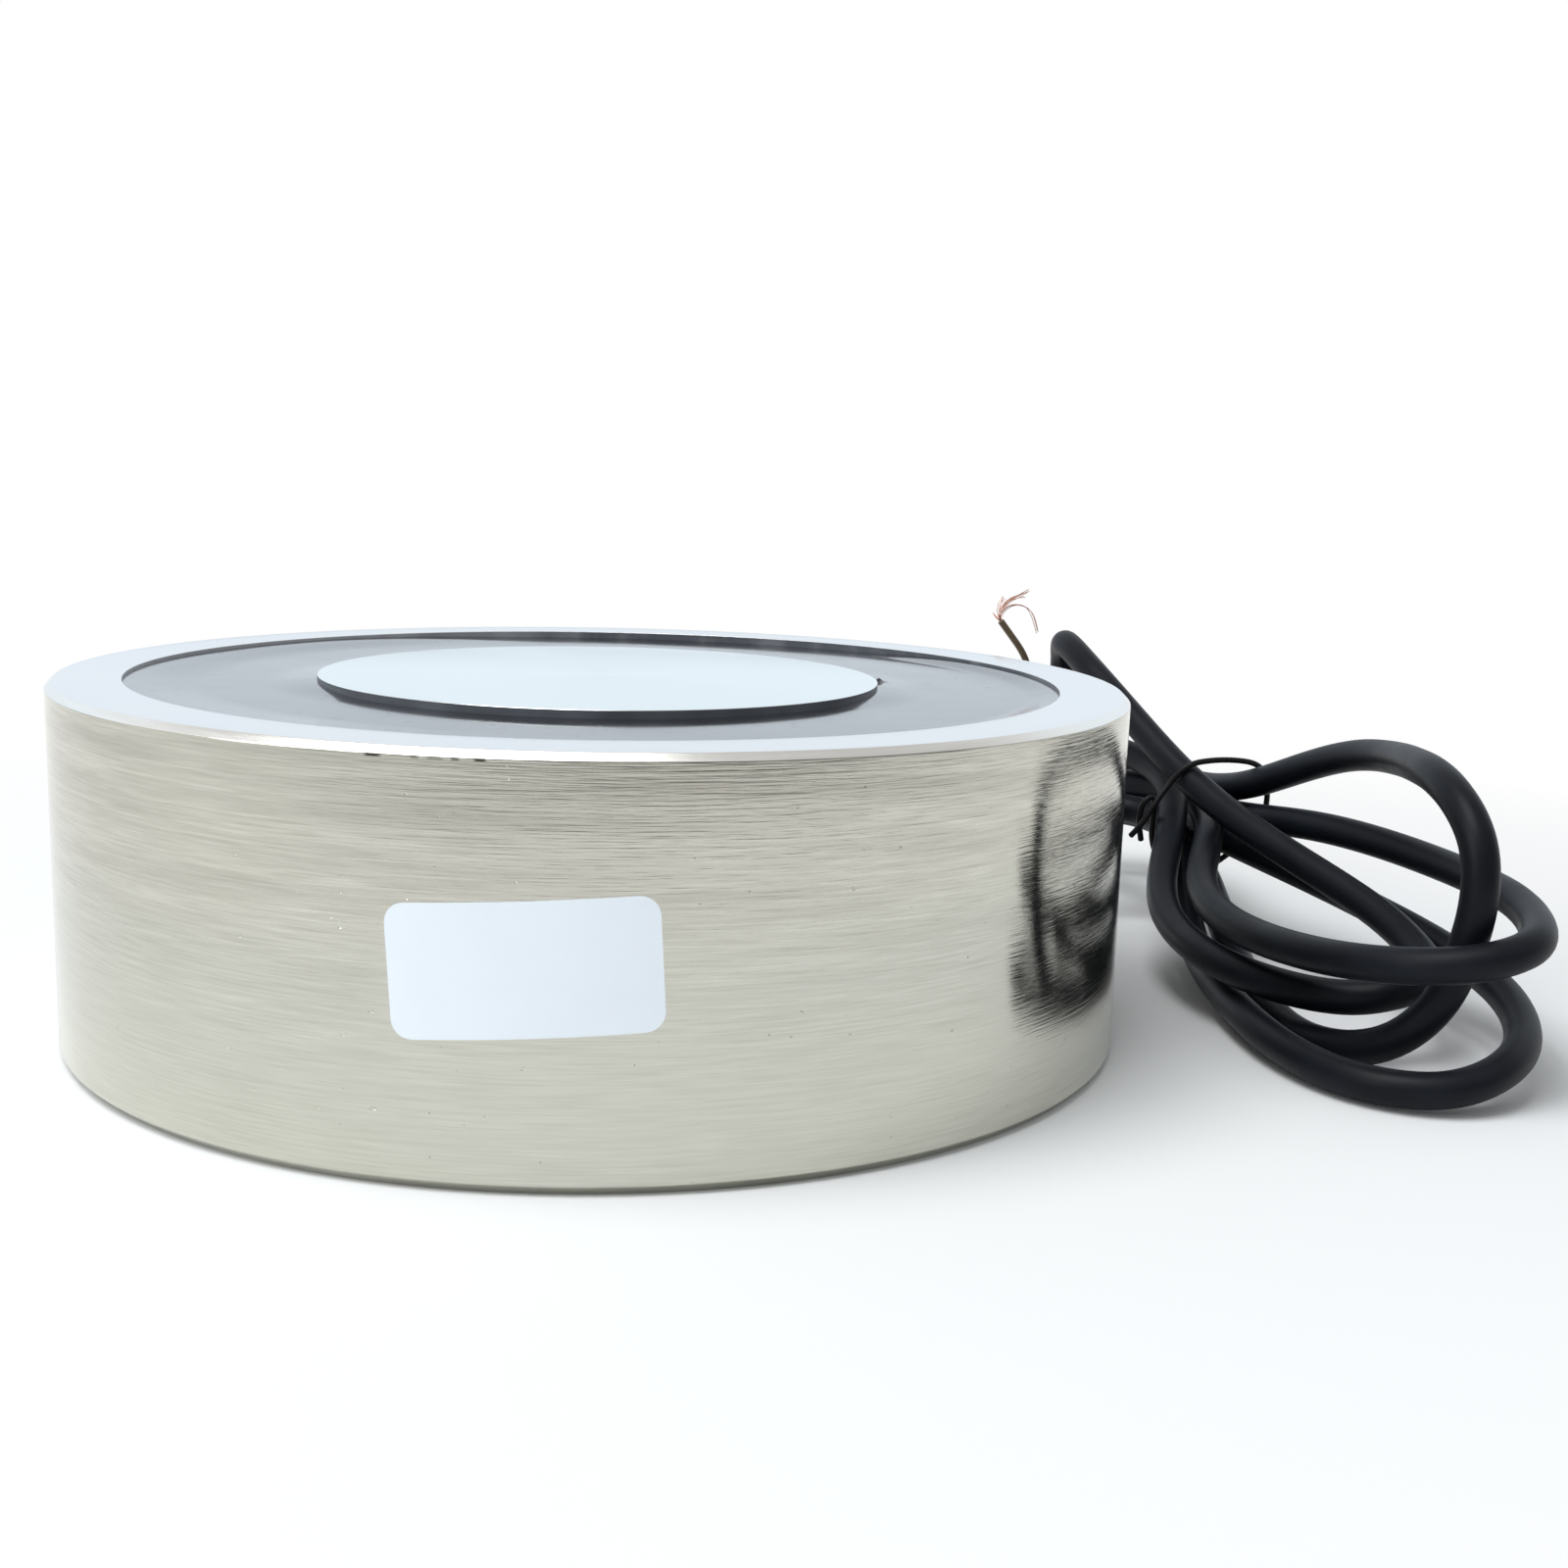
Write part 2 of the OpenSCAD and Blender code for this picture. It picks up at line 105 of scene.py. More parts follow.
# Route of the cable, from inside the wall to the cut end
CABLE_ROUTE = [
    (52.8, 39.6, 22), (68, 51, 22), (77.6, 58.2, 22), (87.5, 63.4, 20.7), (95.8, 62.3, 20.3),
    (100.6, 54.2, 19.4), (99.7, 40.8, 12.4), (96.8, 25.4, 5.1), (94.6, 6.6, 3.7), (92.9, -14.2, 3.6),
    (93.9, -32.2, 3.1), (99.2, -44.6, 2.8), (109.4, -50, 3.1), (118.6, -46.4, 5.6), (125.6, -36.4, 6.6),
    (129.9, -21, 8.9), (126.7, -1.2, 11.7), (118.4, 19.3, 15), (110.5, 39.2, 17.3), (107.9, 59.9, 17.3),
    (110.6, 79.6, 15.4), (110.8, 93.4, 14), (105.1, 99.6, 13.8), (97.3, 99.5, 14.3), (92.1, 94.2, 14.6),
    (92.5, 85.9, 15.7), (98.5, 73.4, 18), (104.3, 57.8, 17.5), (105.2, 40.7, 9.8), (102.1, 19.9, 4.6),
    (98.7, -3.6, 3.2), (98.1, -23.9, 2.1), (105.1, -36.1, 4.4), (111.3, -39.3, 11.3),
    (113.7, -40, 18.6), (114.7, -41.6, 26.7), (114.7, -39.8, 35.4), (113.3, -30.5, 41),
    (115.7, -16.1, 40.7), (119.9, 1.3, 39.2), (120.2, 18.6, 37.4), (116.8, 33.1, 32.7),
    (111.8, 48.7, 26.1), (109.8, 68, 23.4), (110.2, 85, 22.6), (107.6, 96, 22.3), (100, 99.8, 22),
    (92.1, 97, 21.3), (89, 90.4, 20.9), (92.1, 82.4, 21.8), (100.5, 72.4, 23.3), (107.6, 59.1, 23),
    (105.2, 41.7, 19.7), (95.1, 19.5, 15.9), (91.9, -6.4, 14.9), (96.9, -29, 16.2),
    (102.8, -42.2, 18.2), (111.5, -47.8, 19.6), (120.6, -46.3, 21.5), (125.6, -36.7, 22.2),
    (129.7, -21.2, 22.5), (130.4, -3, 22.2), (125, 14.4, 23.3), (117.8, 28.1, 23.9),
    (111.9, 44.3, 21.9), (114, 68.4, 18.8), (114.6, 93.1, 19.1), (106.2, 107.9, 22.6),
    (93, 108.4, 25.8), (85.5, 99.2, 27.6), (88.9, 86.4, 28.9), (98, 72.1, 29.3), (102.9, 56.5, 26.1),
    (97, 40.7, 18.1), (89.5, 21.4, 11.5), (89.6, -0.1, 9.4), (94.7, -17.2, 9.1), (104, -27, 9),
    (111.3, -27.8, 11.1), (117.9, -23, 11.2), (122.2, -13.3, 9.6), (120.9, 1.8, 14.5),
    (111.2, 22.5, 19.9), (101.8, 43.9, 26.7), (94.1, 62.7, 38), (88, 78.3, 46.7), (87.8, 88.8, 48.4),
    (90, 95, 44), (90, 97, 36),
]
CUT_END = Vector(CABLE_ROUTE[-1])

# Routes of the cores beyond the cut end, as steps from it
BROWN_STEPS = [
    (-0.95, 0, 0), (-0.95, 0.5, -2), (-2.2, 0.8, -4.4), (-4.6, 0.8, -4.4), (-6.2, 0.4, -1.5),
    (-6.2, -0.2, 4), (-7.6, -0.8, 8.2), (-10.2, -1, 11.5), (-12.8, -1, 14.8),
]
BLUE_STEPS = [(0.95, 0, 0), (0.95, 0.5, -2), (2, 0, -4.6), (3.6, -1.4, -6.6), (5.4, -3, -7.4)]

# Route of the twist tie
TIE_ROUTE = [
    (90.9, 43.4, 18.6), (92.2, 42.6, 20.4), (93.4, 42.4, 22.4), (95, 42.8, 25), (97.4, 44.1, 27.7),
    (98.9, 43.6, 30), (101, 43.6, 31.4), (103.8, 44.1, 31.8), (106.7, 44.9, 31.9), (109.6, 45.8, 31.7),
    (112.4, 46.8, 31.3), (114.7, 47.8, 30.3), (116, 48.5, 28.2), (116.6, 49, 25.5), (116.7, 49.6, 22.5),
    (116.1, 50.1, 19.8), (114.4, 50.5, 17.4), (112.2, 50.9, 15.2), (109.7, 51.1, 13.1),
    (107.2, 51.1, 11.4), (104.6, 50.9, 10.5), (102, 50.3, 10.9), (99.5, 49.6, 12.2), (97.4, 48.7, 14),
    (96.1, 47.8, 16.4), (95.5, 46.8, 19.2), (95.5, 45.8, 22.2), (95.1, 44.9, 24.6), (94.4, 43.9, 25.6),
    (92.8, 43.6, 24.6), (92.3, 44.2, 21.6), (93.2, 44.6, 17.6),
]


# Meshes
def piece(name, verts, faces, materials, face_slots=None, sharp=math.radians(32)):
    """A smooth-shaded mesh object from millimetre points, with edges over the sharp angle kept crisp."""
    mesh = bpy.data.meshes.new(name)
    mesh.from_pydata([tuple(c * MM for c in v) for v in verts], [], faces)
    for mat in materials:
        mesh.materials.append(mat)
    if face_slots:
        mesh.polygons.foreach_set("material_index", face_slots)
    bm = bmesh.new()
    bm.from_mesh(mesh)
    bmesh.ops.recalc_face_normals(bm, faces=bm.faces)
    bm.to_mesh(mesh)
    bm.free()
    mesh.shade_smooth()
    mesh.set_sharp_from_angle(angle=sharp)
    obj = bpy.data.objects.new(name, mesh)
    bpy.context.scene.collection.objects.link(obj)
    return obj


def soften(profile, radius, steps=3):
    """The closed profile with each corner rounded, by less where its sides are short."""
    out = []
    count = len(profile)
    for i in range(count):
        before, here, after = (Vector(profile[(i + k) % count]) for k in (-1, 0, 1))
        to_before, to_after = before - here, after - here
        reach = min(radius, 0.4 * to_before.length, 0.4 * to_after.length)
        start = here + to_before.normalized() * reach
        end = here + to_after.normalized() * reach
        for k in range(steps + 1):
            t = k / steps
            out.append((1 - t) ** 2 * start + 2 * t * (1 - t) * here + t * t * end)
    return out


def lathe(profile, segments):
    """Points and faces of a closed profile of (radius, height) turned about Z."""
    count = len(profile)
    verts = []
    for s in range(segments):
        a = 2 * math.pi * s / segments
        verts += [(r * math.cos(a), r * math.sin(a), z) for r, z in profile]
    faces = []
    for s in range(segments):
        t = (s + 1) % segments
        faces += [(s * count + i, t * count + i, t * count + (i + 1) % count, s * count + (i + 1) % count)
                  for i in range(count)]
    return verts, faces


def spline(points, per_span):
    """Points on the uniform cubic B-spline of a route, which starts and ends at its own ends."""
    p = [Vector(q) for q in points]
    p = [2 * p[0] - p[1]] + p + [2 * p[-1] - p[-2]]
    out = []
    for i in range(len(p) - 3):
        a, b, c, d = p[i:i + 4]
        for k in range(per_span):
            t = k / per_span
            out.append(((1 - t) ** 3 * a + (3 * t ** 3 - 6 * t * t + 4) * b
                        + (1 + 3 * t + 3 * t * t - 3 * t ** 3) * c + t ** 3 * d) / 6)
    out.append(p[-2])
    return out


def tube(centres, radii, sides):
    """Points and faces of a closed tube along centres, carried without twist."""
    count = len(centres)
    heads = [(centres[min(i + 1, count - 1)] - centres[max(i - 1, 0)]).normalized() for i in range(count)]
    side = heads[0].orthogonal().normalized()
    angles = [2 * math.pi * k / sides for k in range(sides)]
    verts = []
    for c, h, r in zip(centres, heads, radii):
        side = (side - side.dot(h) * h).normalized()
        up = h.cross(side)
        verts += [c + r * (math.cos(a) * side + math.sin(a) * up) for a in angles]
    faces = []
    for i in range(count - 1):
        here, ahead = i * sides, (i + 1) * sides
        faces += [(here + k, here + (k + 1) % sides, ahead + (k + 1) % sides, ahead + k)
                  for k in range(sides)]
    faces.append(tuple(range(sides)))
    faces.append(tuple(range((count - 1) * sides, count * sides)))
    return verts, faces


def round_ends(centres, radius, soft):
    """Centres and radii of a tube whose cut ends have a small rounded edge."""
    first, last = centres[0], centres[-1]
    into, out = (centres[1] - first).normalized(), (last - centres[-2]).normalized()
    body = [first + into * soft] + centres[1:-1] + [last - out * soft]
    return [first] + body + [last], [radius - soft] + [radius] * len(body) + [radius - soft]


def cut(obj, cutter):
    """Subtracts a closed mesh object from obj and removes it."""
    mod = obj.modifiers.new("cut", "BOOLEAN")
    mod.object = cutter
    mod.operation = "DIFFERENCE"
    mod.solver = "EXACT"
    depsgraph = bpy.context.evaluated_depsgraph_get()
    mesh = bpy.data.meshes.new_from_object(obj.evaluated_get(depsgraph))
    obj.modifiers.remove(mod)
    obj.data = mesh
    bpy.data.objects.remove(cutter)


def exit_matrix():
    """Turns a shape made along Z so that it lies along the cable's exit, at its height, in millimetres."""
    turn = EXIT_DIR.to_track_quat("Z", "Y").to_matrix().to_4x4()
    return Matrix.Translation((0, 0, EXIT_Z)) @ turn


# Shader nodes
class Shader:
    """A material with one Principled BSDF, and short ways to add nodes to it."""

    def __init__(self, name, base, rough, **sockets):
        self.mat = bpy.data.materials.new(name)
        self.mat.use_nodes = True
        self.nodes = self.mat.node_tree.nodes
        self.links = self.mat.node_tree.links
        self.bsdf = self.nodes["Principled BSDF"]
        self.bsdf.inputs["Base Color"].default_value = (*base, 1)
        self.bsdf.inputs["Roughness"].default_value = rough
        for socket, value in sockets.items():
            self.bsdf.inputs[socket.replace("_", " ")].default_value = value
        self.place = self.nodes.new("ShaderNodeTexCoord").outputs["Object"]

    def node(self, kind, settings=None, **inputs):
        made = self.nodes.new("ShaderNode" + kind)
        for key, value in (settings or {}).items():
            setattr(made, key, value)
        for key, value in inputs.items():
            if hasattr(value, "is_output"):
                self.links.new(value, made.inputs[key])
            else:
                made.inputs[key].default_value = value
        return made

    def noise(self, scale, detail=3.0, rough=0.55, vector=None):
        """Noise over the object's own coordinates, with a scale per metre along X, Y and Z."""
        mapped = self.node("Mapping", Vector=vector or self.place, Scale=scale)
        return self.node("TexNoise", Vector=mapped.outputs["Vector"], Scale=1.0, Detail=detail,
                         Roughness=rough).outputs["Fac"]

    def ring_noise(self, scale, detail=3.0):
        """Noise that changes with the distance from the Z axis alone, as turning marks do."""
        parts = self.node("SeparateXYZ", Vector=self.place)
        flat = self.node("CombineXYZ", X=parts.outputs["X"], Y=parts.outputs["Y"])
        radius = self.node("VectorMath", {"operation": "LENGTH"})
        self.links.new(flat.outputs["Vector"], radius.inputs[0])
        along = self.node("CombineXYZ", X=radius.outputs["Value"])
        return self.noise((scale, 1, 1), detail, vector=along.outputs["Vector"])

    def span(self, value, low, high, to_low=0.0, to_high=1.0):
        """The value mapped from one span to another and held inside it."""
        made = self.node("MapRange", {"clamp": True})
        self.links.new(value, made.inputs["Value"])
        for key, number in (("From Min", low), ("From Max", high), ("To Min", to_low), ("To Max", to_high)):
            made.inputs[key].default_value = number
        return made.outputs["Result"]

    def along(self, axis):
        """The object's own coordinate along an axis, in metres."""
        return self.node("SeparateXYZ", Vector=self.place).outputs[axis]

    def math(self, operation, a, b):
        made = self.node("Math", {"operation": operation})
        for value, socket in ((a, made.inputs[0]), (b, made.inputs[1])):
            if hasattr(value, "is_output"):
                self.links.new(value, socket)
            else:
                socket.default_value = value
        return made.outputs["Value"]

    def mix(self, factor, a, b):
        """Colour a where the factor is 0 and b where it is 1."""
        made = self.node("Mix", {"data_type": "RGBA"})
        self.links.new(factor, made.inputs["Factor"])
        for value, socket in ((a, made.inputs[6]), (b, made.inputs[7])):
            if hasattr(value, "is_output"):
                self.links.new(value, socket)
            else:
                socket.default_value = (*value, 1)
        return made.outputs[2]

    def colour(self, value):
        self.links.new(value, self.bsdf.inputs["Base Color"])

    def roughness(self, value):
        self.links.new(value, self.bsdf.inputs["Roughness"])

    def bump(self, value, strength, distance, under=None):
        made = self.node("Bump", Height=value, Strength=strength, Distance=distance)
        if under:
            self.links.new(under, made.inputs["Normal"])
        self.links.new(made.outputs["Normal"], self.bsdf.inputs["Normal"])
        return made.outputs["Normal"]

    def brushed_round(self):
        """Brush marks that run round the Z axis."""
        tangent = self.node("Tangent", {"direction_type": "RADIAL", "axis": "Z"})
        self.links.new(tangent.outputs["Tangent"], self.bsdf.inputs["Tangent"])


# Burrs at the chamfer's lower edge: middle along X and half width in millimetres, strength
BURRS = [(-24.4, 1.1, 1.0), (-19.8, 0.55, 0.5), (-17.6, 1.1, 0.45), (-15.4, 0.55, 0.7), (-12.75, 0.8, 1.0)]


def wall_material():
    """Fine brush lines, broad streaks with painted shade that darkens them towards the rim, a calmer foot,
    burrs and small pits.
    """
    s = Shader("brushed_nickel", (0.62, 0.612, 0.54), 0.12, Metallic=1.0, Anisotropic=0.92,
               Anisotropic_Rotation=0.25)
    s.brushed_round()
    lines = s.noise((105, 105, 3500), 2.5, 0.6)
    broad = s.noise((24, 24, 420), 3.0)
    patches = s.noise((26, 26, 34), 2.0)
    pale = s.mix(s.span(lines, 0.3, 0.7), (0.475, 0.472, 0.415), (0.7, 0.697, 0.63))
    worn = s.span(patches, 0.35, 0.65, 0.0, 0.4)
    calm = s.math("MAXIMUM", worn, s.span(s.along("Z"), 0.044, 0.014, 0.0, 0.6))
    toned = s.mix(calm, pale, (0.588, 0.578, 0.5))
    # Broad streaks of the metal's own tone, with painted shade that makes them darker and stronger towards
    # the rim
    streaks_and_rim_shade = s.math("MULTIPLY", s.span(broad, 0.4, 0.7), s.span(s.along("Z"), 0.016, 0.048, 0.0, 0.65))
    streaked_and_rim_shaded = s.mix(streaks_and_rim_shade, toned, (0.42, 0.41, 0.36))
    marks = None
    for middle, half, strength in BURRS:
        off = s.math("ABSOLUTE", s.math("SUBTRACT", s.along("X"), middle * MM), 0.0)
        mark = s.span(off, half * MM, 0.5 * half * MM, 0.0, strength)
        marks = s.math("MAXIMUM", marks, mark) if marks else mark
    edge = s.math("MULTIPLY", s.span(s.along("Z"), 0.0487, 0.04885), s.span(s.along("Y"), -0.01, -0.03))
    s.colour(s.mix(s.math("MULTIPLY", marks, edge), streaked_and_rim_shaded, (0.08, 0.075, 0.065)))
    s.roughness(s.span(lines, 0.3, 0.7, 0.09, 0.15))
    fine = s.bump(lines, 1.0, 0.00003)
    s.bump(s.span(s.noise((800, 800, 800), 1.0), 0.77, 0.8), 0.6, -0.0001, fine)
    return s.mat


def face_material(name, low, high):
    s = Shader(name, low, 0.2, Metallic=1.0, Anisotropic=0.3, Anisotropic_Rotation=0.25)
    s.brushed_round()
    marks = s.ring_noise(2600, 4.0)
    cloud = s.noise((40, 40, 40), 3.0)
    s.colour(s.mix(s.span(cloud, 0.35, 0.65), low, high))
    s.roughness(s.span(cloud, 0.3, 0.7, 0.17, 0.26))
    s.bump(marks, 0.05, 0.00002)
    return s.mat


def chamfer_material():
    s = Shader("turned_nickel_chamfer", (0.93, 0.92, 0.88), 0.25, Metallic=1.0)
    marks = s.noise((90, 90, 1800), 4.0)
    s.colour(s.mix(s.span(marks, 0.3, 0.7), (0.9, 0.885, 0.83), (0.95, 0.945, 0.92)))
    s.roughness(s.span(marks, 0.3, 0.7, 0.2, 0.3))
    s.bump(marks, 0.15, 0.00004)
    return s.mat


def turned_material():
    s = Shader("turned_nickel_back", (0.62, 0.61, 0.56), 0.3, Metallic=1.0, Anisotropic=0.5,
               Anisotropic_Rotation=0.25)
    s.brushed_round()
    marks = s.ring_noise(1500, 5.0)
    s.colour(s.mix(s.span(marks, 0.3, 0.7), (0.55, 0.54, 0.49), (0.69, 0.68, 0.63)))
    s.roughness(s.span(marks, 0.3, 0.7, 0.24, 0.36))
    s.bump(marks, 0.25, 0.00005)
    return s.mat


def resin_material():
    s = Shader("cast_resin", (0.014, 0.014, 0.017), 0.06, IOR=1.5, Coat_Weight=0.42, Coat_Roughness=0.05,
               Coat_IOR=1.5)
    cloud = s.noise((60, 60, 60), 3.0)
    s.colour(s.mix(s.span(cloud, 0.35, 0.65), (0.01, 0.01, 0.013), (0.02, 0.021, 0.026)))
    s.roughness(s.span(cloud, 0.3, 0.7, 0.1, 0.16))
    waves = s.bump(s.noise((70, 70, 70), 2.0), 0.12, 0.0004)
    s.bump(s.span(s.noise((700, 700, 700), 1.0), 0.72, 0.78), 0.2, 0.0001, waves)
    return s.mat


def painted_bore_shade_material():
    """Painted shade on the bore wall above the resin: a dark coat that stands in for the dark reflection
    there, paler towards the left.
    """
    s = Shader("bore_painted_shade", (0.12, 0.13, 0.15), 0.35, Specular_IOR_Level=0.14)
    # The painted shade gets paler towards the left
    paler_to_left = s.span(s.along("X"), 0.01, -0.05)
    cloud = s.span(s.noise((160, 160, 160), 3.0), 0.3, 0.7, -0.2, 0.2)
    pale = s.span(s.math("ADD", paler_to_left, cloud), 0.0, 1.0)
    s.colour(s.mix(pale, (0.105, 0.118, 0.138), (0.5, 0.53, 0.57)))
    s.bump(s.noise((900, 900, 900), 4.0), 0.15, 0.00006)
    return s.mat


def rubber_material(name, base, rough, grain):
    s = Shader(name, base, rough, Specular_IOR_Level=0.14)
    fine = s.noise((grain, grain, grain), 4.0)
    cloud = s.noise((90, 90, 90), 3.0)
    dark = tuple(0.8 * c for c in base)
    pale = tuple(1.25 * c for c in base)
    s.colour(s.mix(s.span(cloud, 0.35, 0.65), dark, pale))
    s.roughness(s.span(cloud, 0.3, 0.7, rough - 0.06, rough + 0.06))
    s.bump(fine, 0.15, 0.00006)
    return s.mat


def copper_material():
    s = Shader("copper", (0.8, 0.45, 0.34), 0.28, Metallic=1.0)
    cloud = s.noise((600, 600, 600), 3.0)
    s.colour(s.mix(s.span(cloud, 0.35, 0.65), (0.7, 0.36, 0.26), (0.88, 0.55, 0.44)))
    s.roughness(s.span(cloud, 0.3, 0.7, 0.22, 0.36))
    return s.mat


def label_material():
    s = Shader("label_stock", (0.84, 0.9, 0.96), 0.38)
    fibre = s.noise((900, 900, 900), 4.0)
    cloud = s.noise((120, 120, 120), 2.0)
    s.colour(s.mix(s.span(cloud, 0.35, 0.65), (0.835, 0.905, 0.975), (0.85, 0.92, 0.985)))
    s.roughness(s.span(cloud, 0.3, 0.7, 0.34, 0.44))
    s.bump(fibre, 0.05, 0.00003)
    return s.mat


def plastic_material(name, base, rough):
    s = Shader(name, base, rough)
    grain = s.noise((1200, 1200, 1200), 3.0)
    cloud = s.noise((150, 150, 150), 2.0)
    s.colour(s.mix(s.span(cloud, 0.35, 0.65), tuple(0.85 * c for c in base), tuple(1.15 * c for c in base)))
    s.bump(grain, 0.08, 0.00004)
    return s.mat


NICKEL = wall_material()
FACE = face_material("ground_nickel_pole", (0.865, 0.925, 0.92), (0.895, 0.95, 0.945))
RIM = face_material("ground_nickel_rim", (0.855, 0.855, 0.85), (0.905, 0.9, 0.885))
CHAMFER = chamfer_material()
BACK = turned_material()
RESIN = resin_material()
# Dark coat of painted shade on the bore wall, standing in for its dark reflection above the resin
BORE_PAINTED_SHADE = painted_bore_shade_material()
# Dark coat of painted shade on the pole's side, standing in for its dark reflection above the resin
POLE_PAINTED_SHADE = rubber_material("pole_painted_shade", (0.105, 0.118, 0.138), 0.35, 900)
SHEATH = rubber_material("sheath_rubber", (0.006, 0.0075, 0.0112), 0.44, 2600)
GROMMET = rubber_material("grommet_rubber", (0.015, 0.015, 0.017), 0.55, 1500)
TIE = rubber_material("tie_coating", (0.011, 0.011, 0.012), 0.4, 2000)
COPPER = copper_material()
LABEL = label_material()
BROWN = plastic_material("brown_insulation", (0.12, 0.085, 0.05), 0.45)
BLUE = plastic_material("blue_insulation", (0.02, 0.08, 0.35), 0.45)
BOBBIN = plastic_material("bobbin_plastic", (0.03, 0.03, 0.032), 0.5)
TAPE = plastic_material("film_tape", (0.6, 0.45, 0.08), 0.35)
SLEEVE = plastic_material("shrink_sleeve", (0.02, 0.02, 0.02), 0.5)


# Pot: brushed wall, paler rim and chamfer, turned back
def make_pot():
    profile = soften([
        (SPIGOT_R + SPIGOT_GAP, 0), (POT_R - FOOT_CHAMFER, 0), (POT_R, FOOT_CHAMFER),
        (POT_R, POT_H - RIM_CHAMFER), (POT_R - RIM_CHAMFER, POT_H), (BORE_R + SHARP_EDGE, POT_H),
        (BORE_R, POT_H - SHARP_EDGE), (BORE_R, FLOOR_T), (SPIGOT_R + SPIGOT_GAP, FLOOR_T)], radius=0.12)
    verts, faces = lathe(profile, POT_SEGMENTS)
    looks = [NICKEL, RIM, BACK, BORE_PAINTED_SHADE, CHAMFER]

    def look(face):
        """The material of a face, with small margins for the rounded corners."""
        zs = [verts[i][2] for i in face]
        rs = [math.hypot(verts[i][0], verts[i][1]) for i in face]
        if min(zs) > POT_H - RIM_CHAMFER - 0.03 and max(rs) > POT_R - RIM_CHAMFER + 0.05:
            return CHAMFER
        if min(zs) > POT_H - SHARP_EDGE - 0.01 and min(rs) > BORE_R + 0.02:
            return RIM
        if max(zs) < 0.05:
            return BACK
        # The bore wall gets the painted shade of its dark reflection
        if max(rs) < BORE_R + 0.1 and min(zs) > FLOOR_T - 0.05:
            return BORE_PAINTED_SHADE
        return NICKEL

    pot = piece("pot", verts, faces, looks, [looks.index(look(f)) for f in faces])
    near, far = EXIT_CUT
    bore = [(0.001, near), (EXIT_BORE_R, near), (EXIT_BORE_R, far), (0.001, far)]
    bore_verts, bore_faces = lathe(soften(bore, radius=0.01, steps=1), SMALL_SEGMENTS)
    turn = exit_matrix()
    cutter = piece("pot_cutter", [turn @ Vector(v) for v in bore_verts], bore_faces, [NICKEL])
    cut(pot, cutter)
    return pot


# Pole: level face, spigot and a cut thread in its bore
def thread_radius(z, share):
    """Radius of the tapped bore at a height and a share of a turn: wide at the mouth, plain at the end."""
    turn = (z / THREAD_PITCH - share) % 1.0
    groove = THREAD_CUT * (1 - abs(2 * turn - 1)) * min(1.0, max(0.0, (THREAD_DEPTH - 2 - z) / 2))
    return THREAD_R + max(groove, THREAD_MOUTH - z, 0.0)


def make_pole():
    outline = soften([
        (THREAD_R + THREAD_MOUTH + 0.4, 0), (SPIGOT_R, 0), (SPIGOT_R, FLOOR_T), (POLE_R, FLOOR_T),
        (POLE_R, POT_H - SHARP_EDGE), (POLE_R - SHARP_EDGE, POT_H), (0.0, POT_H)], radius=0.08)
    outline = outline[3:-4] + [Vector((0.6, POT_H))]
    looks = [NICKEL, FACE, BACK, POLE_PAINTED_SHADE]
    total, count = POLE_SEGMENTS, len(outline)
    around = [(s, (s + 1) % total) for s in range(total)]
    angles = [2 * math.pi * s / total for s in range(total)]

    def look(i):
        """The material of the outline's side from point i, with small margins for the rounded corners."""
        rs, zs = zip(*outline[i:i + 2])
        if min(zs) > POT_H - SHARP_EDGE - 0.01:
            return FACE
        if max(zs) < 0.05:
            return BACK
        # The pole's side above the resin gets the painted shade of its dark reflection
        return POLE_PAINTED_SHADE if min(rs) > POLE_R - 0.05 and max(zs) > FLOOR_T + 5 else NICKEL

    # Outside, and the middle of the face
    verts = [(r * math.cos(a), r * math.sin(a), z) for a in angles for r, z in outline]
    faces = [(s * count + i, t * count + i, t * count + i + 1, s * count + i + 1)
             for s, t in around for i in range(count - 1)]
    slots = [looks.index(look(i)) for i in range(count - 1)] * total
    middle = len(verts)
    verts.append((0, 0, POT_H))
    faces += [(s * count + count - 1, t * count + count - 1, middle) for s, t in around]
    slots += [looks.index(FACE)] * total

    # Tapped bore from its inner end to its mouth, its cone, and the strip that joins it to the outside
    start = len(verts)
    rows = int(THREAD_DEPTH / THREAD_PITCH * ROWS_PER_TURN)
    for k in range(rows + 1):
        z = THREAD_DEPTH * (1 - k / rows)
        for s, a in enumerate(angles):
            r = thread_radius(z, s / total)
            verts.append((r * math.cos(a), r * math.sin(a), z))
    for row in range(start, start + rows * total, total):
        faces += [(row + s, row + t, row + total + t, row + total + s) for s, t in around]
    tip = len(verts)
    verts.append((0, 0, THREAD_DEPTH + 0.6 * THREAD_R))
    faces += [(start + s, start + t, tip) for s, t in around]
    slots += [looks.index(NICKEL)] * (rows + 1) * total
    last = start + rows * total
    faces += [(last + s, last + t, t * count, s * count) for s, t in around]
    slots += [looks.index(BACK)] * total
    return piece("pole", verts, faces, looks, slots)


# Resin: slightly uneven glossy surface that creeps up both walls at the sides
def ease(value, start, end):
    """0 at the start, 1 at the end, with a soft step between them."""
    t = min(1.0, max(0.0, (value - start) / (end - start)))
    return t * t * (3 - 2 * t)


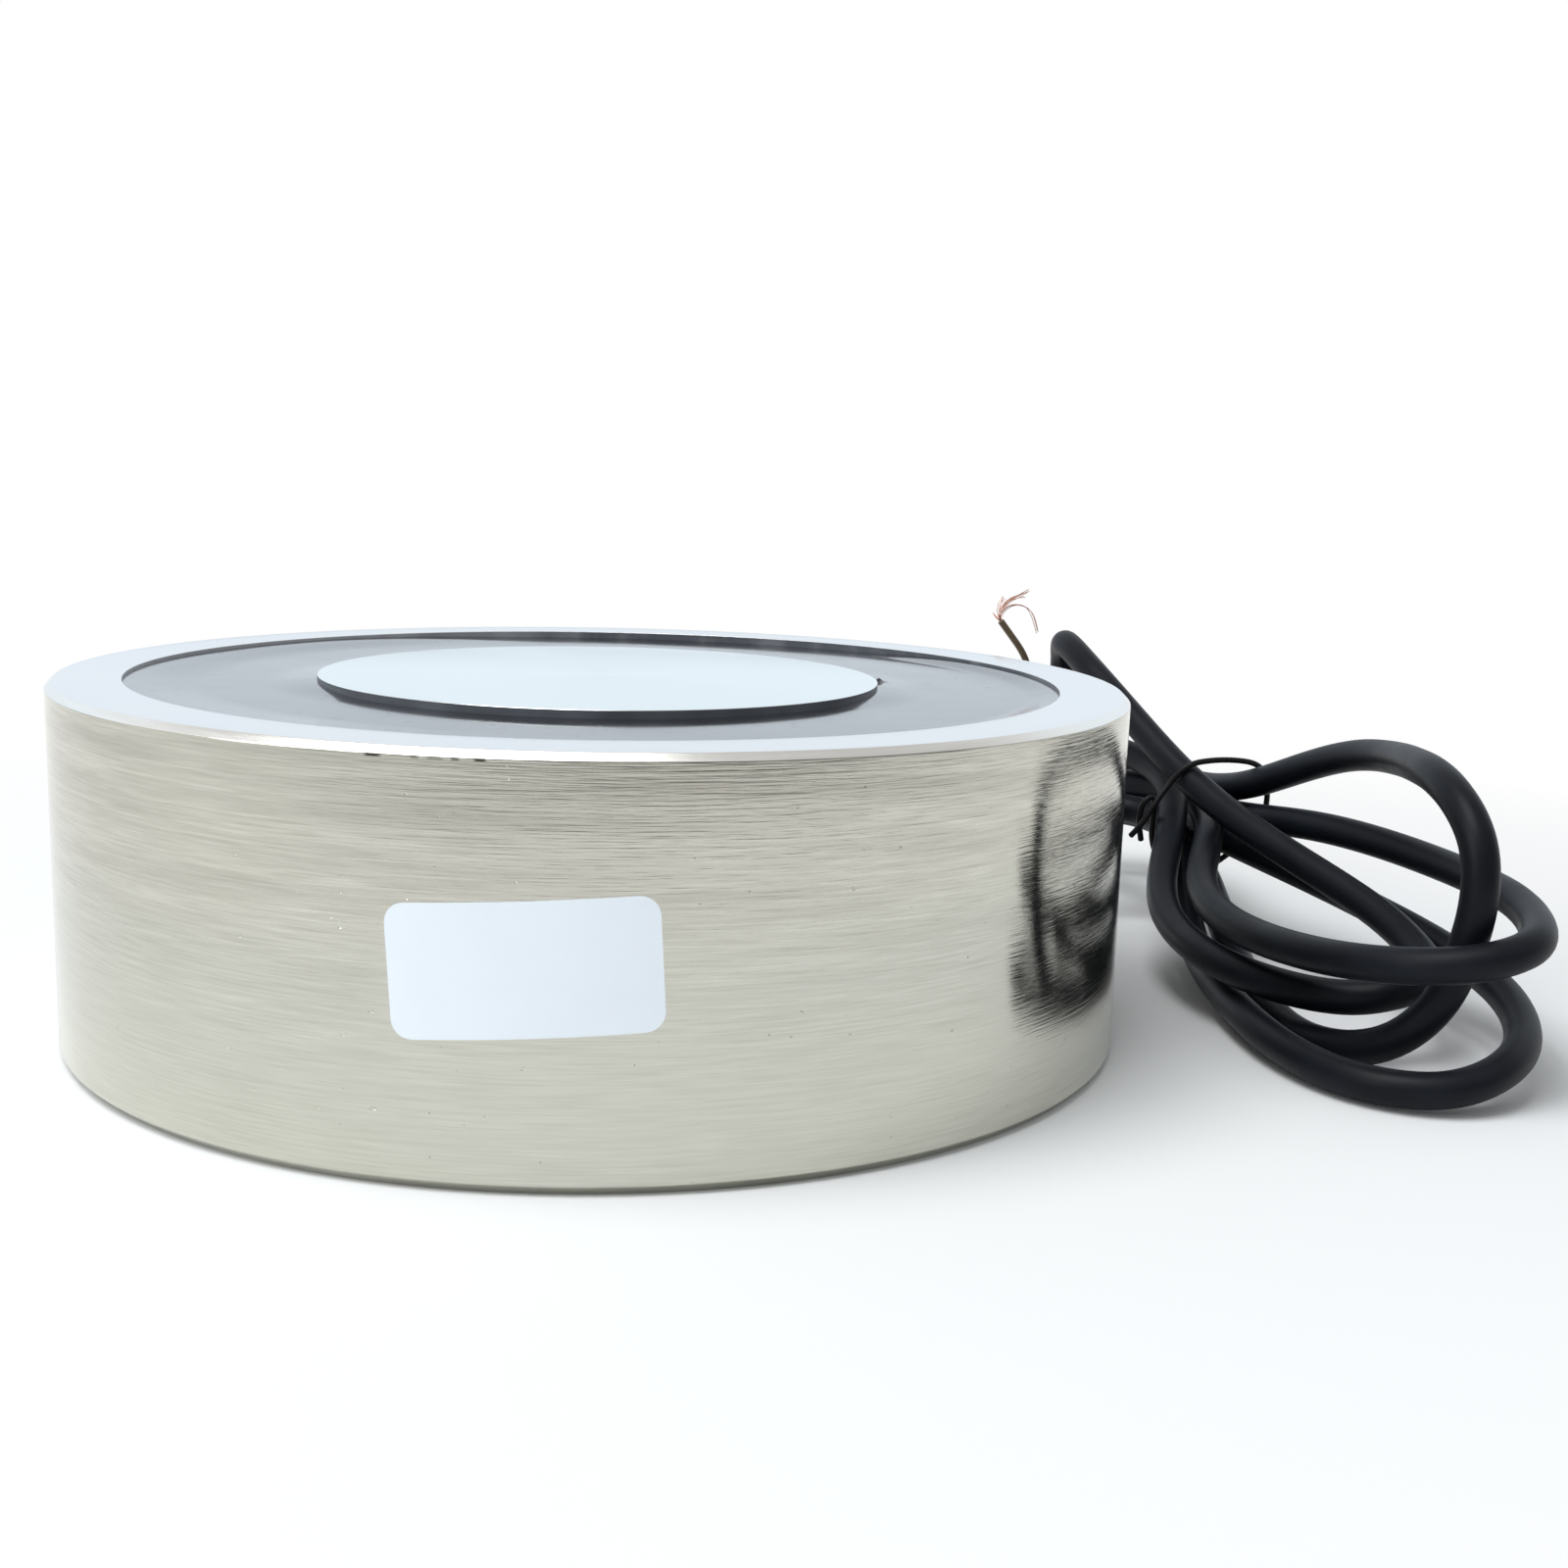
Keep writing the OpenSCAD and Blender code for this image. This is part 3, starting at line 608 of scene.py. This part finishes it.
def resin_height(x, y):
    """Height of the resin: raised at the bore's left and right and at the pole's sides, with one drop."""
    r = math.hypot(x, y)
    across = x / r
    left = ease(-across, 0.05, 0.7) * ease(BORE_R - r, LEFT_CREEP, 0.0)
    right = ease(across, 0.62, 0.92) * ease(BORE_R - r, RIGHT_CREEP, 0.0)
    at_pole = 0.7 * ease(abs(across), 0.78, 1.0) * ease(-y / r, -0.5, 0.15)
    at_pole *= ease(r - POLE_R, POLE_CREEP, 0.0)
    uneven = UNEVENNESS * field.noise(Vector((x * 0.035, y * 0.035, 3.7)))
    drop = DROP_H * math.exp(-((x - DROP_AT[0]) ** 2 + (y - DROP_AT[1]) ** 2) / 0.3)
    return RESIN_Z + uneven + MENISCUS * (left + right + at_pole) + drop


def make_resin():
    edge = RESIN_EDGE_RINGS[-1]
    width = BORE_R - POLE_R - 2 * edge
    rings = [POLE_R + d for d in RESIN_EDGE_RINGS]
    rings += [POLE_R + edge + width * k / RESIN_MIDDLE_RINGS for k in range(1, RESIN_MIDDLE_RINGS + 1)]
    rings += [BORE_R - d for d in reversed(RESIN_EDGE_RINGS[:-1])]
    count = len(rings) + 2
    verts, faces = [], []
    for s in range(RESIN_SEGMENTS):
        a = 2 * math.pi * s / RESIN_SEGMENTS
        c, n = math.cos(a), math.sin(a)
        verts.append((POLE_R * c, POLE_R * n, RESIN_BOTTOM))
        verts += [(r * c, r * n, resin_height(r * c, r * n)) for r in rings]
        verts.append((BORE_R * c, BORE_R * n, RESIN_BOTTOM))
    for s in range(RESIN_SEGMENTS):
        t = (s + 1) % RESIN_SEGMENTS
        faces += [(s * count + i, s * count + (i + 1) % count, t * count + (i + 1) % count, t * count + i)
                  for i in range(count)]
    return piece("resin", verts, faces, [RESIN])


# Grommet: sleeve, collar and tapered nozzle
def make_grommet():
    hole = CABLE_D / 2 + GROMMET_GAP
    seat, front, tip = POT_R - COLLAR_SEAT, POT_R + COLLAR_T, POT_R + NOZZLE_OUT
    profile = soften([
        (hole, BORE_R), (GROMMET_R, BORE_R), (GROMMET_R, seat), (COLLAR_R, seat), (COLLAR_R, front),
        (GROMMET_R, front), (hole + NOZZLE_WALL, tip), (hole, tip)], radius=0.5, steps=4)
    verts, faces = lathe(profile, SMALL_SEGMENTS)
    turn = exit_matrix()
    return piece("grommet", [turn @ Vector(v) for v in verts], faces, [GROMMET])


# Label: thin rounded sheet bent to the wall
def make_label():
    def corner(cx, cy, start):
        angles = [math.radians(a) for a in range(start, start + 91, LABEL_ARC_STEP)]
        return [(cx + LABEL_R * math.cos(a), cy + LABEL_R * math.sin(a)) for a in angles]

    w, h = LABEL_W / 2 - LABEL_R, LABEL_H / 2 - LABEL_R
    outline = corner(w, h, 0) + corner(-w, h, 90) + corner(-w, -h, 180) + corner(w, -h, 270)
    bm = bmesh.new()
    ring = [bm.verts.new((x, y, 0)) for x, y in outline]
    bm.faces.new(ring)

    def slice_at(point, normal):
        whole = bm.verts[:] + bm.edges[:] + bm.faces[:]
        bmesh.ops.bisect_plane(bm, geom=whole, plane_co=point, plane_no=normal)

    for k in range(1, LABEL_COLUMNS):
        slice_at((LABEL_W * (k / LABEL_COLUMNS - 0.5), 0, 0), (1, 0, 0))
    for k in range(1, LABEL_ROWS):
        slice_at((0, LABEL_H * (k / LABEL_ROWS - 0.5), 0), (0, 1, 0))
    bm.verts.ensure_lookup_table()
    flat = [v.co.copy() for v in bm.verts]
    bm.verts.index_update()
    sheet = [tuple(v.index for v in f.verts) for f in bm.faces]
    border = [tuple(v.index for v in e.verts) for e in bm.edges if e.is_boundary]
    bm.free()
    tilt = math.radians(LABEL_TILT)

    def bend(x, y, lift):
        u = x * math.cos(tilt) - y * math.sin(tilt)
        v = x * math.sin(tilt) + y * math.cos(tilt)
        a = math.radians(LABEL_TURN - 90) + u / POT_R
        r = POT_R + lift
        return (r * math.cos(a), r * math.sin(a), LABEL_Z + v)

    count = len(flat)
    verts = [bend(p.x, p.y, LABEL_T) for p in flat] + [bend(p.x, p.y, LABEL_SEAT) for p in flat]
    faces = list(sheet) + [tuple(i + count for i in reversed(f)) for f in sheet]
    faces += [(a, b, b + count, a + count) for a, b in border]
    return piece("label", verts, faces, [LABEL])


# Cable, cores, strands and tie
cable_line = spline(CABLE_ROUTE, per_span=8)
brown_line = spline([CUT_END + Vector(s) for s in BROWN_STEPS], per_span=8)
blue_line = spline([CUT_END + Vector(s) for s in BLUE_STEPS], per_span=8)
tie_line = spline(TIE_ROUTE, per_span=6)


def make_tube(name, line, diameter, sides, material, soft):
    centres, radii = round_ends(line, diameter / 2, soft)
    verts, faces = tube(centres, radii, sides)
    return piece(name, verts, faces, [material])


def make_strands(name, root, tips, diameter):
    """Fine copper wires from a core's end, each through its own bends with a little scatter."""
    verts, faces = [], []
    for steps in tips:
        start = Vector((random.uniform(-0.35, 0.35), random.uniform(-0.35, 0.35), 0))
        route = [root + start * 0.8]
        for i, s in enumerate(steps):
            wander = 0.12 * (i + 1)
            scatter = Vector([random.uniform(-wander, wander) for _ in range(3)])
            route.append(root + Vector(s) + start + scatter)
        line = spline(route, per_span=5)
        v, f = tube(line, [diameter / 2] * len(line), sides=6)
        shift = len(verts)
        verts += v
        faces += [tuple(i + shift for i in face) for face in f]
    return piece(name, verts, faces, [COPPER])


BROWN_FAN = [
    [(-0.3, 0, 1.2), (0.8, 0, 3.6), (2.6, 0, 5), (5.4, 0, 5.9)],
    [(-0.2, 0.2, 1), (1.2, 0.2, 3), (3.4, 0.3, 3.6), (6.2, 0.4, 2.4), (7.4, 0.5, -1.8)],
    [(-0.4, -0.2, 1), (0.6, -0.4, 3), (2, -0.6, 4.4), (4.2, -0.8, 4.8)],
    [(-0.6, 0, 1), (-0.4, 0.2, 3), (0.4, 0.4, 4.6)],
    [(-0.7, 0, 0.8), (-1.2, 0, 1.4)],
]
BLUE_FAN = [
    [(1, -0.6, -0.2), (2.6, -1.4, 0.2), (4, -2, 1)],
    [(1, -0.6, -0.3), (2.8, -1.7, -0.6), (4.4, -2.8, -0.4)],
    [(0.9, -0.8, -0.2), (2.2, -2.2, 0.2), (3, -3.6, 0.8)],
]

pot = make_pot()
pole = make_pole()
resin = make_resin()
grommet = make_grommet()
label = make_label()
cable = make_tube("cable", cable_line, CABLE_D, sides=24, material=SHEATH, soft=0.25)
brown_core = make_tube("brown_core", brown_line, CORE_D, sides=14, material=BROWN, soft=0.1)
blue_core = make_tube("blue_core", blue_line, CORE_D, sides=14, material=BLUE, soft=0.1)
tie = make_tube("tie", tie_line, TIE_D, sides=12, material=TIE, soft=0.15)
brown_strands = make_strands("brown_strand_fan", brown_line[-1], BROWN_FAN * 3, STRAND_D)
blue_strands = make_strands("blue_strand_fan", blue_line[-1], BLUE_FAN * 3, STRAND_D)

# Each piece in place of its solid, and materials for the solids inside
for made, node, slot in (
        (pot, "pot_shell", "plated_steel"), (pole, "centre_pole", "pole_steel"),
        (resin, "potting_resin", "resin"), (grommet, "cable_grommet", "grommet_rubber"),
        (label, "blank_label", "label"), (cable, "cable_sheath", "cable_sheath"),
        (brown_core, "brown_core_end", "brown_insulation"), (blue_core, "blue_core_end", "blue_insulation"),
        (tie, "bundle_tie", "tie"), (brown_strands, "brown_strands", "copper"),
        (blue_strands, "blue_strands", "copper")):
    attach(made, "root")
    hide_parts(node)

for node, mat in (
        ("coil_bobbin", BOBBIN), ("coil_winding", COPPER), ("coil_tape", TAPE), ("start_lead", COPPER),
        ("finish_lead", COPPER), ("start_splice", SLEEVE), ("finish_splice", SLEEVE),
        ("brown_core_root", BROWN), ("blue_core_root", BLUE)):
    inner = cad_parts[node]
    inner.data.materials.clear()
    inner.data.materials.append(mat)


# Stage: pale floor, white surroundings, soft lamps
AMBIENT_LEVEL = 0.48
VIEWER_SIDE = Vector((0.37, -0.93, 0))
ROOM_LEVEL = 0.12
CEILING_LEVEL = 0.55
FLOOR_REACH = 6.0
FLOOR_MIDDLE = Vector((0.03, 0.01, 0))
FLOOR_FADE = (0.12, 0.3)
LAMP_SIZE = 0.9


def join(tree, operation, a, b):
    """Two values joined by a math node."""
    made = tree.nodes.new("ShaderNodeMath")
    made.operation = operation
    tree.links.new(a, made.inputs[0])
    tree.links.new(b, made.inputs[1])
    return made.outputs["Value"]


def ray_masks(tree):
    """1 for camera rays, and 1 for mirror and transmission rays."""
    path = tree.nodes.new("ShaderNodeLightPath").outputs
    return path["Is Camera Ray"], join(tree, "MAXIMUM", path["Is Glossy Ray"], path["Is Transmission Ray"])


def map_range(tree, value, source, target):
    """The value mapped from one span to another and held inside it."""
    made = tree.nodes.new("ShaderNodeMapRange")
    tree.links.new(value, made.inputs["Value"])
    for key, number in zip(("From Min", "From Max", "To Min", "To Max"), source + target):
        made.inputs[key].default_value = number
    return made.outputs["Result"]


def make_world():
    """White for the camera and an even light for matt surfaces.

    Mirrors see a bluish white behind the object, a ceiling at about half of white, and a room that gets
    dim on the viewer's side.
    """
    world = bpy.data.worlds.new("studio")
    world.use_nodes = True
    tree = world.node_tree
    tree.nodes.clear()

    def background(colour, strength):
        made = tree.nodes.new("ShaderNodeBackground")
        made.inputs["Color"].default_value = (*colour, 1)
        made.inputs["Strength"].default_value = strength
        return made

    def choose(factor, a, b):
        made = tree.nodes.new("ShaderNodeMixShader")
        tree.links.new(factor, made.inputs["Fac"])
        tree.links.new(a, made.inputs[1])
        tree.links.new(b, made.inputs[2])
        return made.outputs["Shader"]

    direction = tree.nodes.new("ShaderNodeTexCoord").outputs["Generated"]

    def along(vector):
        made = tree.nodes.new("ShaderNodeVectorMath")
        made.operation = "DOT_PRODUCT"
        made.inputs[1].default_value = vector
        tree.links.new(direction, made.inputs[0])
        return made.outputs["Value"]

    plain = background((0.98, 0.99, 1), AMBIENT_LEVEL)
    white = background((1, 1, 1), 1)
    room = background((1, 1, 1), 1)
    dimming = map_range(tree, along(VIEWER_SIDE), (-0.35, 0.95), (1, ROOM_LEVEL))
    tree.links.new(dimming, room.inputs["Strength"])
    bluish = background((0.84, 0.92, 1), 1)
    ceiling = background((1, 1, 1), CEILING_LEVEL)
    low = map_range(tree, along((0, 0, 1)), (0.8, 0.3), (0, 1))
    behind = join(tree, "MULTIPLY", map_range(tree, along((0, 1, 0)), (0.2, 0.6), (0, 1)), low)
    mirrored = choose(behind, choose(low, ceiling.outputs["Background"], room.outputs["Background"]),
                      bluish.outputs["Background"])
    seen, glossy = ray_masks(tree)
    lit = choose(glossy, plain.outputs["Background"], mirrored)
    out = tree.nodes.new("ShaderNodeOutputWorld")
    tree.links.new(choose(seen, lit, white.outputs["Background"]), out.inputs["Surface"])
    bpy.context.scene.world = world


def make_floor():
    """A matt pale floor that fades to white far from the object for the camera and for mirrors."""
    mesh = bpy.data.meshes.new("floor")
    near, far = -FLOOR_REACH, FLOOR_REACH
    mesh.from_pydata([(near, near, 0), (far, near, 0), (far, far, 0), (near, far, 0)], [], [(0, 1, 2, 3)])
    floor = bpy.data.objects.new("floor", mesh)
    bpy.context.scene.collection.objects.link(floor)
    mat = bpy.data.materials.new("pale_floor")
    mat.use_nodes = True
    tree = mat.node_tree
    tree.nodes.clear()
    matte = tree.nodes.new("ShaderNodeBsdfDiffuse")
    matte.inputs["Color"].default_value = (0.85, 0.872, 0.885, 1)
    white = tree.nodes.new("ShaderNodeEmission")
    white.inputs["Color"].default_value = (1, 1, 1, 1)
    away = tree.nodes.new("ShaderNodeVectorMath")
    away.operation = "DISTANCE"
    away.inputs[1].default_value = FLOOR_MIDDLE
    tree.links.new(tree.nodes.new("ShaderNodeTexCoord").outputs["Object"], away.inputs[0])
    fade = map_range(tree, away.outputs["Value"], FLOOR_FADE, (0, 1))
    shown = tree.nodes.new("ShaderNodeMixShader")
    seen_or_mirrored = join(tree, "MAXIMUM", *ray_masks(tree))
    tree.links.new(join(tree, "MULTIPLY", fade, seen_or_mirrored), shown.inputs["Fac"])
    tree.links.new(matte.outputs["BSDF"], shown.inputs[1])
    tree.links.new(white.outputs["Emission"], shown.inputs[2])
    out = tree.nodes.new("ShaderNodeOutputMaterial")
    tree.links.new(shown.outputs["Shader"], out.inputs["Surface"])
    mesh.materials.append(mat)


def make_lamp(name, place, target, size, watts):
    data = bpy.data.lights.new(name, "AREA")
    data.shape = "DISK"
    data.size = size
    data.energy = watts
    lamp = bpy.data.objects.new(name, data)
    lamp.location = place
    lamp.rotation_euler = (Vector(target) - Vector(place)).to_track_quat("-Z", "Y").to_euler()
    bpy.context.scene.collection.objects.link(lamp)


make_world()
make_floor()
make_lamp("overhead", place=(-0.35, -0.25, 1.2), target=(0.03, 0, 0.02), size=LAMP_SIZE, watts=10.5)
make_lamp("side", place=(-1.2, -0.5, 0.8), target=(0, 0, 0.03), size=LAMP_SIZE, watts=5.5)

# Camera: the photograph's viewpoint, with lengths in its pixels and turns in degrees (yaw, pitch, roll)
IMAGE_PX = 1600
FOCAL_PX = 2022.278
SHIFT_PX = 49.222
SENSOR_MM = 36.0
CAMERA_TURNS = (5.415, 10.906, 1.563)
CAMERA_PLACE = (0, -0.284493, 0.082201)


def make_camera():
    data = bpy.data.cameras.new("camera")
    data.sensor_fit = "HORIZONTAL"
    data.sensor_width = SENSOR_MM
    data.lens = FOCAL_PX / IMAGE_PX * SENSOR_MM
    data.shift_y = SHIFT_PX / IMAGE_PX
    data.clip_start = 0.01
    camera = bpy.data.objects.new("camera", data)
    yaw, pitch, roll = (math.radians(a) for a in CAMERA_TURNS)
    ahead = Vector((math.sin(yaw) * math.cos(pitch), math.cos(yaw) * math.cos(pitch), -math.sin(pitch)))
    right = Vector((math.cos(yaw), -math.sin(yaw), 0))
    up = right.cross(ahead)
    tilted_right = math.cos(roll) * right + math.sin(roll) * up
    tilted_up = -math.sin(roll) * right + math.cos(roll) * up
    turn = Matrix((tilted_right, tilted_up, -ahead)).transposed().to_4x4()
    camera.matrix_world = Matrix.Translation(CAMERA_PLACE) @ turn
    bpy.context.scene.collection.objects.link(camera)
    bpy.context.scene.camera = camera


make_camera()
bpy.context.scene.view_settings.view_transform = "Standard"
